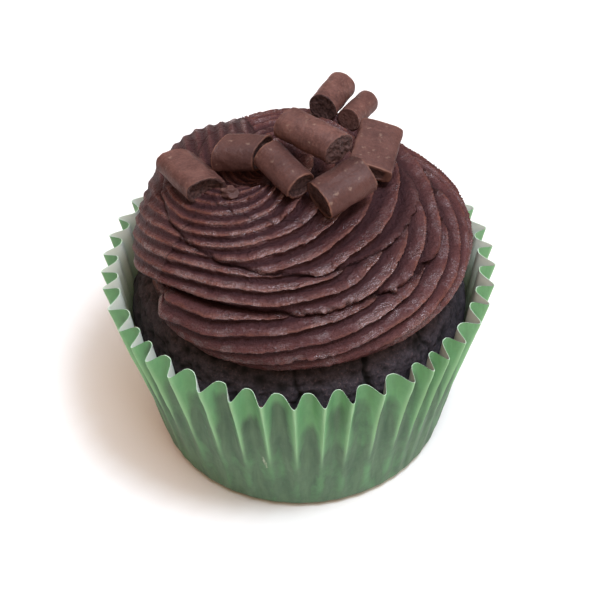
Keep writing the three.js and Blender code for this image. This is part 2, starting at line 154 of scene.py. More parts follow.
# Grease: how high it climbs in each pleat, how strongly, where that evens out, and how close paper is to cake.
GREASE_TOP = (27.5, 38.0)
GREASE_SHARE = (0.62, 1.12)
GREASE_SHARE_LOW = 0.9
GREASE_EVEN_BELOW = (16, 22)
TOUCHING_WITHIN = (0.35, 1.9)
BLOT_SHARE = 0.22
# A slanted nick and a dark spot: the angle and height of each, and how far it reaches both ways.
NICK_PLACE = (-103.2, 15.5)
NICK_SLANT = 0.36
NICK_REACH = (0.62, 2.0)
SPOT_PLACE = (-121.0, 27.5)
SPOT_REACH = (1.3, 0.9)
GRAIN_NUMBERS = 8192
GRAIN_MIX = (73856093, 19349663, 83492791)
JOINED_PER_MM = 2000


def smooth(start, end, value):
    """0 below start, 1 above end, and an even S between them."""
    t = np.clip((value - start) / (end - start), 0, 1)
    return t * t * (3 - 2 * t)


def grain(x, y, z, size, seed):
    """Random hills between -1 and 1, about `size` across: a random number at each corner of a cubic lattice,
    blended smoothly inside each cell."""
    numbers = np.random.default_rng(seed).uniform(-1, 1, GRAIN_NUMBERS)
    place = np.stack(np.broadcast_arrays(x, y, z)) / size
    cell = np.floor(place).astype(np.int64)
    share = place - cell
    share = share * share * (3 - 2 * share)
    total = 0.0
    for i, j, k in np.ndindex(2, 2, 2):
        a, b, c = (step * factor for step, factor in zip((cell[0] + i, cell[1] + j, cell[2] + k), GRAIN_MIX))
        weight = np.abs(1 - i - share[0]) * np.abs(1 - j - share[1]) * np.abs(1 - k - share[2])
        total = total + numbers[(a ^ b ^ c) & (GRAIN_NUMBERS - 1)] * weight
    return total


def ring_faces(rings, columns):
    """Quads between rings that are closed round their columns, facing out where the rings climb the outside."""
    at = np.arange(rings * columns).reshape(rings, columns)
    beside = np.roll(at, -1, axis=1)
    return np.stack([at[:-1], beside[:-1], beside[1:], at[1:]], axis=-1).reshape(-1, 4)


def make_piece(name, points, faces, materials, face_material=None, facts=None, sharp=None):
    """Mesh object from points in millimetres and quads, one material per slot, and facts, which are numbers
    kept at the points for the materials to read. Equal points are joined: a quad with two equal corners becomes
    a triangle, and one that closes up altogether goes."""
    flat = points.reshape(-1, 3)
    keys = np.round(flat * JOINED_PER_MM).astype(np.int64)
    _, first, joined = np.unique(keys, axis=0, return_index=True, return_inverse=True)
    quads = joined.reshape(-1)[faces]
    doubled = quads == np.roll(quads, 1, axis=1)
    corners = (~doubled).sum(axis=1)
    different = 1 + (np.diff(np.sort(quads, axis=1)) > 0).sum(axis=1)
    kept = (corners > 2) & (corners == different)
    polygons = np.split(quads[kept][~doubled[kept]], np.cumsum(corners[kept])[:-1])
    mesh = bpy.data.meshes.new(name)
    mesh.from_pydata((flat[first] / 1000).tolist(), [], polygons)
    for material in materials:
        mesh.materials.append(material)
    if face_material is not None:
        mesh.polygons.foreach_set("material_index", face_material[kept])
    mesh.polygons.foreach_set("use_smooth", [True] * len(polygons))
    for fact, values in (facts or {}).items():
        layer = mesh.attributes.new(fact, "FLOAT", "POINT")
        layer.data.foreach_set("value", np.asarray(values, dtype=np.float32).reshape(-1)[first])
    if sharp is not None:
        mesh.set_sharp_from_angle(angle=np.radians(sharp))
    piece = bpy.data.objects.new(name, mesh)
    bpy.context.scene.collection.objects.link(piece)
    return piece


def case_mean_radius(z):
    """Cone from foot to rim, pulled in by a quarter round at the foot."""
    flare = CASE_FOOT_RADIUS + (CASE_RIM_RADIUS - CASE_FOOT_RADIUS) * z / CASE_HEIGHT
    return flare - CASE_CORNER_INSET * np.clip(1 - z / CASE_CORNER, 0, 1) ** 2


def pleat_depth(z):
    """Depth of the pleats: none at the foot, shallow up to 10 mm, then growing to the rim."""
    deeper = (PLEAT_DEPTH - PLEAT_DEPTH_LOW) * smooth(*PLEATS_DEEPEN, z) ** 0.9
    return PLEAT_DEPTH_LOW * smooth(*PLEATS_BEGIN, z) + deeper


case_random = np.random.default_rng(44)
shares = [0, 0.018, 0.05, 0.10, 0.17, 0.25, 0.34, 0.42, 0.5, 0.58, 0.66, 0.75, 0.83, 0.90, 0.95, 0.982]
shares = np.array(shares)
turn = np.arange(PLEATS + 1) * 360 / PLEATS
crease = PLEAT_START + turn
for turns, by, start in PLEAT_DRIFT:
    crease = crease + by * np.sin(np.radians(turns * turn + start))
lean = case_random.uniform(-0.09, 0.09, PLEATS)[:, None]
full = case_random.uniform(0.9, 1.0, PLEATS)[:, None]
raised = case_random.uniform(-0.25, 0.2, PLEATS)[:, None]
bowed = shares + lean * np.sin(np.pi * shares) ** 2
sharp_wave = 1 - full * np.sin(np.pi * bowed) ** 0.9
round_wave = 0.5 + 0.5 * np.cos(2 * np.pi * bowed)
rim_wave = 1 - full * smooth(*RIM_SPAN, np.sin(np.pi * bowed))
angle = (crease[:-1, None] + (crease[1:] - crease[:-1])[:, None] * shares).reshape(-1)
sharp_wave, round_wave, rim_wave = sharp_wave.reshape(-1), round_wave.reshape(-1), rim_wave.reshape(-1)
off_crease = np.broadcast_to(np.minimum(shares, 1 - shares), (PLEATS, len(shares))).reshape(-1)
rim_lift = (np.sin(np.pi * shares)[None] * raised).reshape(-1)


def pleat_wave(z):
    """1 on the creases outside and 0 in the folds: round low down, sharp above, its creases flattened at the
    rim."""
    wave = round_wave + (sharp_wave - round_wave) * smooth(*PLEATS_SHARPEN, z)
    return wave + (rim_wave - sharp_wave) * smooth(*CREASES_FLATTEN, z)


def on_drum(radius):
    """Places of the case's columns on an upright drum of that radius, from which its grain is read."""
    return np.cos(np.radians(angle)) * radius, np.sin(np.radians(angle)) * radius


def near_crease(reach):
    """1 on a crease, falling off as the exponential of the distance squared, in mm round the case."""
    return np.exp(-((off_crease * PLEAT_PITCH / reach) ** 2))


def case_ring(z, inset, at_rim):
    """One ring of the wall at height z: the mean radius, plus the pleat's wave, plus slight creasing of the
    paper. At the rim the broad folds stand higher."""
    radius = case_mean_radius(z) + pleat_depth(z) * (pleat_wave(z) - 0.5)
    t = np.radians(angle)
    x, y = on_drum(PAPER_RADIUS)
    large, small = CREASED_DEPTHS
    creased = large * grain(x, y, 0 * x + z, 5.0, 1) + small * grain(x, y, 0 * x + z, 1.6, 2)
    radius = radius + smooth(3, 12, z) * creased
    height = z + at_rim * (FOLD_RISE * (1 - rim_wave) + rim_lift)
    radius = radius - inset
    return np.stack([radius * np.cos(t), radius * np.sin(t), height], axis=-1)


levels = np.concatenate([np.linspace(0, 2, 6)[1:], np.linspace(3, 30, 28), np.linspace(30.8, CASE_HEIGHT, 9)])
rise_share = smooth(24, CASE_HEIGHT, levels)
outside = [case_ring(z, 0, s) for z, s in zip(levels, rise_share)]
inside = [case_ring(z, PAPER, s) for z, s in zip(levels, rise_share)][::-1]
foot_out = case_ring(0.0, 0, 0)
foot_in = case_ring(0.0, PAPER, 0) + [0, 0, PAPER]
spread = np.array([0, 0.3, 0.6, 0.85, 0.97])[:, None, None] * [1, 1, 0] + [0, 0, 1]
base_out = list(spread * foot_out)
base_in = list(spread * foot_in)[::-1]
case_rings = np.stack(base_out + [foot_out] + outside + inside + [foot_in] + base_in)
rows, columns = case_rings.shape[:2]
outer_rows = len(base_out) + 1 + len(outside)
face_rows = np.repeat(np.arange(rows - 1), columns)
z_of = case_rings[:, :, 2]
touches = 1 - smooth(*TOUCHING_WITHIN, pleat_depth(z_of) * pleat_wave(z_of))
crease_line = near_crease(0.30) * smooth(*CREASES_SHOW, z_of)
soaked_to = np.repeat(case_random.uniform(*GREASE_TOP, PLEATS), len(shares))
soaked_by = np.repeat(case_random.uniform(*GREASE_SHARE, PLEATS), len(shares))
soaked_to = soaked_to + 2.0 * grain(*on_drum(PAPER_RADIUS), 0 * angle, 0.9, 3)
uneven_share = smooth(*GREASE_EVEN_BELOW, z_of)
soaked_by = soaked_by * uneven_share + GREASE_SHARE_LOW * (1 - uneven_share)
touching = touches * (1 - smooth(soaked_to - 3.5, soaked_to + 0.5, z_of)) * soaked_by
blots = grain(*on_drum(BLOT_RADIUS), z_of * 0.45, 2.0, 8)
touching = touching + BLOT_SHARE * blots * (1 - smooth(26, 36, z_of))
soft_crease = near_crease(0.85) * (1 - smooth(*CREASES_SHOW, z_of)) * smooth(1.5, 8, z_of)
touching = touching - 0.30 * soft_crease
nick_up = z_of - NICK_PLACE[1]
nick_across = angle - NICK_PLACE[0] + NICK_SLANT * nick_up
nick = np.exp(-((nick_across / NICK_REACH[0]) ** 2) - (nick_up / NICK_REACH[1]) ** 4)
spot_across, spot_up = (angle - SPOT_PLACE[0]) / SPOT_REACH[0], (z_of - SPOT_PLACE[1]) / SPOT_REACH[1]
spot = np.exp(-((spot_across**2 + spot_up**2) ** 2))


def fact(tree, name):
    """Output socket of an attribute kept at the points of the mesh."""
    node = tree.nodes.new("ShaderNodeAttribute")
    node.attribute_name = name
    return node.outputs["Fac"]


def new_node(tree, kind, **numbers):
    """A node of that kind, with the numbers set on the inputs of those names."""
    node = tree.nodes.new("ShaderNode" + kind)
    for name, number in numbers.items():
        node.inputs[name].default_value = number
    return node


def speckle(tree, scale, detail, roughness=0.55, stretch=(1, 1, 1)):
    """Noise between 0 and 1 on Object coordinates; scale is in cycles per metre."""
    coordinates = new_node(tree, "TexCoord")
    mapping = new_node(tree, "Mapping", Scale=stretch)
    noise = new_node(tree, "TexNoise", Scale=scale, Detail=detail, Roughness=roughness)
    tree.links.new(coordinates.outputs["Object"], mapping.inputs["Vector"])
    tree.links.new(mapping.outputs["Vector"], noise.inputs["Vector"])
    return noise.outputs["Fac"]


def ramp(value, start, end, low=0.0, high=1.0):
    """Value carried from start..end to low..high, held at the ends."""
    ends = {"From Min": start, "From Max": end, "To Min": low, "To Max": high}
    node = new_node(value.id_data, "MapRange", **ends)
    value.id_data.links.new(value, node.inputs["Value"])
    return node.outputs["Result"]


def combined(operation, first, second):
    """Math node on a socket, and a socket or number."""
    tree = first.id_data
    node = new_node(tree, "Math")
    node.operation = operation
    tree.links.new(first, node.inputs[0])
    if isinstance(second, (int, float)):
        node.inputs[1].default_value = second
    else:
        tree.links.new(second, node.inputs[1])
    return node.outputs[0]


def total_of(first, second):
    """The sum of a socket, and a socket or number."""
    return combined("ADD", first, second)


def product_of(first, second):
    """The product of a socket, and a socket or number."""
    return combined("MULTIPLY", first, second)


def tinted(under, colour, value, start=0.0, end=1.0, most=1.0):
    """The colour under, blended into the other one as value goes from start to end, by a share of most there.
    Each is three numbers or a socket."""
    tree = value.id_data
    node = new_node(tree, "Mix")
    node.data_type = "RGBA"
    for name, kind in (("A", under), ("B", colour)):
        socket = [s for s in node.inputs if s.name == name and s.type == "RGBA"][0]
        if isinstance(kind, tuple):
            socket.default_value = (*kind, 1)
        else:
            tree.links.new(kind, socket)
    share = ramp(value, start, end, 0.0, most)
    tree.links.new(share, [s for s in node.inputs if s.name == "Factor" and s.type == "VALUE"][0])
    return [s for s in node.outputs if s.type == "RGBA"][0]


def finish(shader, colour, height, depth, strength=1.0):
    """Gives the shader its colour and its low relief: height is the noise, depth its size in metres."""
    tree = shader.id_data
    node = new_node(tree, "Bump", Distance=depth, Strength=strength)
    tree.links.new(height, node.inputs["Height"])
    tree.links.new(node.outputs["Normal"], shader.inputs["Normal"])
    tree.links.new(colour, shader.inputs["Base Color"])


FRESH_GREEN, FRESH_GREEN_PALER = (0.120, 0.300, 0.125), (0.158, 0.362, 0.158)
GREASY_GREEN, GREASY_GREEN_PALER = (0.050, 0.105, 0.056), (0.100, 0.180, 0.098)
CREASE_GREEN = (0.285, 0.52, 0.265)
NICK_PALE = (0.42, 0.46, 0.33)
SPOT_DARK = (0.060, 0.130, 0.068)
outside_paper, tree, shader = plain_material("green_paper", (0.24, 0.46, 0.22), 0.62, 0.35)
fibres = speckle(tree, 900, 3)
blotches = speckle(tree, 330, 4, 0.65, (1, 1, 0.5))
streaks = speckle(tree, 700, 2, 0.5, (1, 1, 0.08))
patchy = total_of(ramp(blotches, 0.3, 0.7, -0.25, 0.25), ramp(streaks, 0.3, 0.7, -0.22, 0.22))
stain = total_of(fact(tree, "touching"), patchy)
greasy = tinted(GREASY_GREEN, GREASY_GREEN_PALER, streaks, 0.3, 0.7)
fresh = tinted(FRESH_GREEN, FRESH_GREEN_PALER, blotches, 0.3, 0.7)
colour = tinted(fresh, greasy, stain, 0.05, 0.85)
colour = tinted(colour, CREASE_GREEN, fact(tree, "crease_line"))
nick_share = total_of(fact(tree, "nick"), ramp(fibres, 0.3, 0.7, -0.15, 0.15))
colour = tinted(colour, NICK_PALE, nick_share, 0.35, 0.8, 0.8)
colour = tinted(colour, SPOT_DARK, fact(tree, "spot"), 0.2, 0.8, 0.75)
finish(shader, colour, total_of(fibres, product_of(streaks, 2.0)), 0.00010, 0.8)

INSIDE_DEEP, INSIDE_RIM = (0.36, 0.47, 0.29), (0.74, 0.76, 0.68)
INSIDE_FIBRES = (0.58, 0.64, 0.50)
inside_paper, tree, shader = plain_material("pale_paper", (0.62, 0.64, 0.55), 0.7, 0.3)
fibres = speckle(tree, 900, 3)
colour = tinted(INSIDE_DEEP, INSIDE_RIM, fact(tree, "height_mm"), 27.0, CASE_HEIGHT)
colour = tinted(colour, INSIDE_FIBRES, fibres, 0.35, 0.65, 0.25)
finish(shader, colour, fibres, 0.00005, 0.5)

EDGE_GREEN, EDGE_PALE = (0.34, 0.50, 0.31), (0.56, 0.66, 0.52)
cut_edge, tree, shader = plain_material("cut_paper_edge", (0.42, 0.56, 0.40), 0.7)
colour = tinted(EDGE_GREEN, EDGE_PALE, speckle(tree, 1200, 2), 0.35, 0.65)
tree.links.new(colour, shader.inputs["Base Color"])

papers = [outside_paper, inside_paper, cut_edge]
paper_of = np.where(face_rows == outer_rows - 1, 2, face_rows >= outer_rows).astype(int)
facts = {"crease_line": crease_line, "touching": touching, "nick": nick, "spot": spot, "height_mm": z_of}
case = make_piece("case_paper", case_rings, ring_faces(rows, columns), papers, paper_of, facts, sharp=40)
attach(case, "root")
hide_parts("paper_case")

# ---- Sponge ----
# Very dark chocolate sponge baked in the case: its side fills the folds, and its shoulder rounds over to the
# icing. The crumb is open, with pores and a few cracks where it rose, painted near black inside as painted shade.
SPONGE_EDGE_Z = 29.0
SPONGE_FOOT_Z = 0.7
SPONGE_TOP_Z = 37.9
SHOULDER = np.array(
    [[30.75, 29], [30.6, 30.4], [30.2, 31.6], [29.5, 34.2], [28.3, 36.3], [26.6, 37.6], [24, SPONGE_TOP_Z]]
)
SKIN_INSET = 0.35
SPONGE_COLUMNS = 560
SHOULDER_RINGS = 62
PORES = 900
CRACKS = ((-91.5, 1.2, 0.9), (-66.0, 2.2, 1.3), (-40.0, 1.6, 0.8), (40.0, 2.0, 1.0), (120.0, 2.4, 0.9))
CRACK_WIDTH = 0.38
MM_PER_DEGREE = 0.52
sponge_random = np.random.default_rng(7)
t = np.linspace(0, 2 * np.pi, SPONGE_COLUMNS, endpoint=False)
wall_levels = np.array([SPONGE_FOOT_Z, 2.3, 7, 12, 17, 21, 25])
wall_radius = case_mean_radius(wall_levels) - pleat_depth(wall_levels) / 2 - CAD_PAPER - GAP
wall_radius[0] -= 0.6
walked = np.concatenate([[0], np.cumsum(np.hypot(*np.diff(SHOULDER, axis=0).T))])
steps = np.linspace(0, walked[-1], SHOULDER_RINGS)
edge_radius = case_mean_radius(SPONGE_EDGE_Z) - pleat_depth(SPONGE_EDGE_Z) / 2 - CAD_PAPER - GAP
shoulder_radius = np.interp(steps, walked, SHOULDER[:, 0]) - SKIN_INSET
shoulder_z = np.interp(steps, walked, SHOULDER[:, 1])
profile_radius = [[0, 12, 20], wall_radius, [edge_radius - 0.1], shoulder_radius[2:], [16, 8, 0]]
profile_z = [[SPONGE_FOOT_Z] * 3, wall_levels, [SPONGE_EDGE_Z - 1], shoulder_z[2:], [SPONGE_TOP_Z] * 3]
R, T = np.meshgrid(np.concatenate(profile_radius), t, indexing="ij")
Z = np.concatenate(profile_z)[:, None] + 0 * T
X, Y = R * np.cos(T), R * np.sin(T)
open_crumb = smooth(27.5, 30, Z) * (1 - smooth(37.0, 37.9, Z) * (R < 26))
relief = 0.30 * grain(X, Y, Z, 3.2, 11) + 0.20 * grain(X, Y, Z, 1.5, 12) + 0.10 * grain(X, Y, Z, 0.7, 13)
pits = np.zeros_like(relief)
pore_angle = sponge_random.uniform(0, 2 * np.pi, PORES)
pore_step = sponge_random.uniform(0, walked[-1], PORES)
pore_size = sponge_random.gamma(2.5, 0.13, PORES) + 0.15
pore_depth = np.minimum(0.75 * pore_size, 0.6)
pore_r = np.interp(pore_step, walked, SHOULDER[:, 0]) - SKIN_INSET
pore_z = np.interp(pore_step, walked, SHOULDER[:, 1])
for a, r, z, size, deep in zip(pore_angle, pore_r, pore_z, pore_size, pore_depth):
    near = np.abs((T[0] - a + np.pi) % (2 * np.pi) - np.pi) < 3 * size / r
    d2 = (X[:, near] - r * np.cos(a)) ** 2 + (Y[:, near] - r * np.sin(a)) ** 2 + (Z[:, near] - z) ** 2
    pits[:, near] = np.minimum(pits[:, near], -deep * np.exp(-d2 / size**2))
cracks = np.zeros_like(relief)
for place, wander, deep in CRACKS:
    across = (np.degrees(T) - (place % 360)) * MM_PER_DEGREE
    across = across - wander * 0.5 * grain(0 * Z + place, 0 * Z, Z, 2.2, 5)
    broken = smooth(28, 30, Z) * (0.6 + 0.5 * grain(X, Y, Z, 1.3, 6))
    cracks = cracks - deep * np.exp(-((across / CRACK_WIDTH) ** 2)) * broken
sunk = open_crumb * (relief - 0.25 + pits + cracks)
X, Y = X + sunk * np.cos(T), Y + sunk * np.sin(T)
Z = Z + open_crumb * 0.35 * np.minimum(sunk + 0.2, 0.15) * smooth(33, 37, Z)
# How far down a pore or a crack a point lies, for the painted shade there.
hollow = np.clip(-(pits + cracks) / 0.6, 0, 1)

CRUMB_DARK, CRUMB_LIT = (0.0212, 0.0162, 0.0200), (0.058, 0.0435, 0.052)
CRUMB_BROWN = (0.055, 0.039, 0.042)
LOOSE_CRUMB = (0.105, 0.066, 0.068)
PAINTED_PORE_SHADE = (0.005, 0.0038, 0.004)
crumb_dark, tree, shader = plain_material("dark_sponge", (0.022, 0.017, 0.019), 0.85, 0.3)
fine = speckle(tree, 1500, 4, 0.65)
colour = tinted(CRUMB_DARK, CRUMB_LIT, fine, 0.35, 0.7)
colour = tinted(colour, CRUMB_BROWN, speckle(tree, 330, 3), 0.5, 0.75, 0.5)
colour = tinted(colour, LOOSE_CRUMB, speckle(tree, 2600, 1, 0.5), 0.60, 0.72, 0.6)
# Pores and cracks painted near black: painted shade in the pits.
colour = tinted(colour, PAINTED_PORE_SHADE, fact(tree, "hollow"))
finish(shader, colour, fine, 0.00025, 0.9)
crumb_points = np.stack([X, Y, Z], axis=-1)
crumb_quads = ring_faces(*X.shape)
sponge = make_piece("sponge_crumb", crumb_points, crumb_quads, [crumb_dark], facts={"hollow": hollow})
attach(sponge, "root")
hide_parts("sponge")

# ---- Chocolate curls: where they lie ----
# Eight curls shaved from a block and rolled up, pressed into the top of the icing. Each has its centre, the way
# it points, how far its far end is raised, its length, width and height, its roll, the slant of its ends, and
# floor, the share of its lower half that it keeps where it is squashed flat underneath.
CURL_KEYS = ("at", "heading", "tilt", "size", "roll", "slant", "floor")
CURL_PLACES = (
    ((-18.3, -1.3, 59.6), -56, 2, (10, 7, 5.6), 0, 1.0, 0.25),
    ((-9.1, 1.2, 62.2), -8, 4, (7.2, 6.4, 6), 0, 1.5, 0.8),
    ((-2, -4.6, 63.2), -52, -8, (9.2, 6.2, 6), 0, 0, 1),
    ((3, -1, 67.7), -37, -3, (11, 6.2, 6), 0, 0.8, 1),
    ((7.8, -7.9, 62.0), 33, 9, (9.6, 7.6, 6.6), 0, 0, 1),
    ((14, 4.9, 58.9), -104, -4, (11, 8.1, 3.4), -12, 0, 1),
    ((6.7, 19.9, 58.8), 64, -7, (8.5, 5.5, 5.5), 0, 0, 1),
    ((11.3, 18.0, 56.9), 62, -12, (8, 4.4, 4.4), 0, 0, 1),
)
CURLS = [dict(zip(CURL_KEYS, place)) for place in CURL_PLACES]
for curl in CURLS:
    h, e, roll = np.radians(curl["heading"]), np.radians(curl["tilt"]), np.radians(curl["roll"])
    along = np.array([np.cos(e) * np.cos(h), np.cos(e) * np.sin(h), np.sin(e)])
    side = np.cross([0, 0, 1], along)
    side = side / np.linalg.norm(side)
    upward = np.cross(along, side)
    curl["along"] = along
    curl["side"] = side * np.cos(roll) + upward * np.sin(roll)
    curl["up"] = upward * np.cos(roll) - side * np.sin(roll)

# ---- Piped icing ----
# Chocolate buttercream piped through a star nozzle: one rope that starts low on the left and climbs round the
# mound two and a half times. Its flutes run along it, and where one turn lies on the last there is a seam.
ICING_FOOT_Z = 38.2
ICING_FOOT_RADIUS = 26.5
BELLY_RADIUS = 30.1
BELLY_Z = 44.2
ICING_RISE = 17.0
ICING_FULLNESS = 1.5
BELLY_SHIFT = (1.0, 0.0)
TOP_SHIFT = (-4.6, 0.3)
LEAN_CURVE = 1.7
# From here on a level is the millimetres walked up the mound's outline from its foot, and piped is the degrees
# piped since the tail. Four values are a span: it fades in between the first two and out between the last two.
TAIL_ANGLE = -150.0
TAIL_SWELL = 2.2
TAIL_SWELL_ANGLE = -130.0
TAIL_SPAN = (-150, -140, -75, -50)
TAIL_LEVELS = (9, 12)
FLUTES = 14
FLUTE_DEPTH = 0.52
FLUTE_SKEW = 1.9
FLUTE_SKEW_BACK = 1.12
CROSSING_PITCH = 2.3
CROSSING_WAY = (0.96, 0.26)
CROSSED_SPAN = (108, 116, 172, 184)
CROSSED_LEVELS = (11, 14, 34, 37)
LIP_LEAN = 0.32
SEAM_LEVEL = 11.3
SEAM_PITCH = 9.6
SEAM_SAG = 2.4
SEAM_ARCH = 1.7
SEAM_ARCH_END = 110
HANDED_OVER = (200, 330)
JOINED_AT = 120.0
RIGHT_SPAN = (-48, -20, 70, 110)
UPPER_LEFT_SPAN = (-175, -160, -105, -80)
UPPER_LEFT_LEVELS = (24, 28, 40, 44)
FLAT_LEFT = (187, 30, 0.62)
FLAT_LEFT_LEVELS = (3, 7, 20, 28)
# The flutes are deeper on the right, and shallower at the upper left, on the left, where they cross and at the
# tail.
RIGHT_DEEPER = 0.85
SHALLOWER = (0.3, 0.42, 0.42, 0.28)
TAIL_RECESS = 2.2
START_RECESS = 2.6
SEAM_SHARE = 0.9
SEAM_REACH = (0.9, 0.45)
WELL_PLACE = (-8.2, -1.0)
WELL_RADII = (7.0, 3.5)
WELL_DEPTH = 4.0
BED_PLACE = (7.3, 16.2)
BED_RADIUS = 4.0
BED_RISE = 1.3
# Spans of degrees piped in which a seam is deeper, more ragged or less notched, each with how much.
SEAM_DEEPER = ((-6, 6, 35, 62, 1.6), (30, 60, 95, 125, 1.2))
SEAM_RAGGED = ((35, 60, 105, 135, 0.7), (330, 370, 450, 480, 0.3))
SEAM_CALMER = ((330, 350, 470, 500, -0.5),)
# Tucks at the foot: the angle, its spread, the levels between which the tuck ends, and its depth.
FOOT_TUCKS = ((-143, 6.5, 1.0, 4.2, 1.7), (-66, 24, 2.0, 5.0, 0.6))
# Swells and torn patches: angle, level, spread in degrees, reach in mm, and amount.
TAIL_BULGE = (-147, 6.5, 9, 3.5, 1.0)
SWELLS = ((144, 19, 19, 9, 1.35), (45, 13, 20, 9, -1.2), (114, 19, 15, 8, -0.45))
TORN_PATCHES = (
    (-84, 32.5, 17, 2.6, 1.0),
    (-112, 34.0, 16, 2.4, 0.7),
    (-62, 22.0, 15, 2.2, 0.6),
    (-94, 16.9, 16, 1.6, 0.7),
    (-65, 18.2, 12, 1.3, 0.7),
    (-91, 6.6, 22, 1.8, 0.6),
    (-38, 20.9, 9, 2.0, 0.7),
    (-125, 17.1, 10, 1.5, 0.6),
)
# The seam's level under each turn, how the count of its flutes sways round the cake, and how many flutes lie in
# a millimetre: evenly, and more with the cosine and the sine of the angle. All but the levels came out of another
# program, a fit.
ROPES = (
    (11.0, (-2.1, 0.47, -1.85, 0.65, 0.17), (0.316, 0.044, -0.026)),
    (17.5, (1.52, -0.78, 2.39, -0.7, -0.87), (0.348, -0.025, -0.052)),
    (25.0, (1.4, 0.03, 2.14, -0.06, 0.07), (0.364, -0.086, 0.001)),
)

# The outline of the mound: part of a parabola from the foot out to the belly, then a full quarter round up to
# the top. It is kept as its radius, its height and the level at each.
rising = np.linspace(0, 1, 401)
low_r = BELLY_RADIUS - (BELLY_RADIUS - ICING_FOOT_RADIUS) * (1 - rising) ** 2
low_z = ICING_FOOT_Z + (BELLY_Z - ICING_FOOT_Z) * rising
lift = np.sin(np.linspace(0, 1, 1201)[1:] * np.pi / 2)
outline_r = np.concatenate([low_r, BELLY_RADIUS * np.sqrt(np.clip(1 - lift**ICING_FULLNESS, 0, 1))])
outline_z = np.concatenate([low_z, BELLY_Z + ICING_RISE * lift])
outline_walk = np.concatenate([[0], np.cumsum(np.hypot(np.diff(outline_r), np.diff(outline_z)))])
MOUND_WALK = outline_walk[-1]


def within(start, full, fading, end, value):
    """0 outside a span of four values and 1 between its middle two."""
    return smooth(start, full, value) * (1 - smooth(fading, end, value))


def changed_within(base, spans, value):
    """The base, changed inside each span of value by that span's amount."""
    for *span, amount in spans:
        base = base + amount * within(*span, value)
    return base


def patch(theta, walk, angle, level, spread, reach, amount):
    """A round patch: the amount in its middle, falling off as the exponential of the distance squared."""
    return amount * np.exp(-(((theta - angle) / spread) ** 2) - (((walk - level) / reach) ** 2))


def seam(piped):
    """Level of the seam under the rope, against the degrees piped: it climbs one pitch a turn, sags after the
    first half turn and arches over the tail; just before the tail it rises steeply from the foot as the rope
    laps over its own start."""
    lap = SEAM_LEVEL * (1 - smooth(-45, 15, piped)) + (1 - smooth(-45, -30, piped))
    sag = SEAM_SAG * smooth(150, 400, piped) * (1 - np.cos(np.radians(piped)))
    arch = SEAM_ARCH * np.sin(np.pi * np.clip(piped, 0, SEAM_ARCH_END) / SEAM_ARCH_END)
    return SEAM_LEVEL + SEAM_PITCH * np.maximum(piped, 0) / 360 - sag + arch - lap


def seam_depth(piped):
    """Depth of a seam: deepest over the tail, deep again in front, faint near the top."""
    return changed_within(0.9, SEAM_DEEPER, piped) - 0.5 * smooth(560, 640, piped)


def crowding(turn, t):
    """Flutes per millimetre across one turn of the rope."""
    even, cosine, sine = ROPES[min(max(turn, 0), 2)][2]
    return even + cosine * np.cos(t) + sine * np.sin(t)


def flute_count(turn, theta, walk):
    """Counts the flutes of one turn: whole numbers are crests; the count sways round the cake and falls by the
    nozzle's teeth in a full turn, so the flutes climb as the rope does."""
    level, sway, _ = ROPES[min(max(turn, 0), 2)]
    t = np.radians(theta)
    base = sway[0] + sway[1] * np.cos(t) + sway[2] * np.sin(t)
    base = base + sway[3] * np.cos(2 * t) + sway[4] * np.sin(2 * t)
    return base + (walk - level) * crowding(turn, t) - FLUTES * theta / 360


def flute_along(turn, piped, theta, walk):
    """The flute count of a turn, handed over to the next turn's where the rope goes round the back."""
    level = ROPES[min(max(turn, 0), 2)][0] + 3
    join = np.round(flute_count(turn, JOINED_AT, level) - flute_count(turn + 1, JOINED_AT, level))
    share = smooth(*HANDED_OVER, piped)
    return (1 - share) * flute_count(turn, theta, walk) + share * (flute_count(turn + 1, theta, walk) + join)


def groove(count, skew, softness=0.8):
    """0 on a crest and 1 in the groove: a sawtooth with a broad flank above and a steep drop below, the more so
    the higher the skew; a crest is rounder the higher the softness."""
    return np.abs(np.sin(np.pi * (count - np.floor(count)) ** skew)) ** softness


def uneven(x, y, z, pace):
    """Long smooth hills and hollows between -1 and 1: the mean of a sine along each axis, each bent by
    another axis."""
    a = np.sin(pace * x + 1.3 * np.sin(0.7 * pace * y + 0.5))
    b = np.sin(0.9 * pace * y + 1.1 * np.sin(0.8 * pace * z + 2))
    c = np.sin(1.1 * pace * z + 1.2 * np.sin(0.6 * pace * x + 4))
    return (a + b + c) / 3


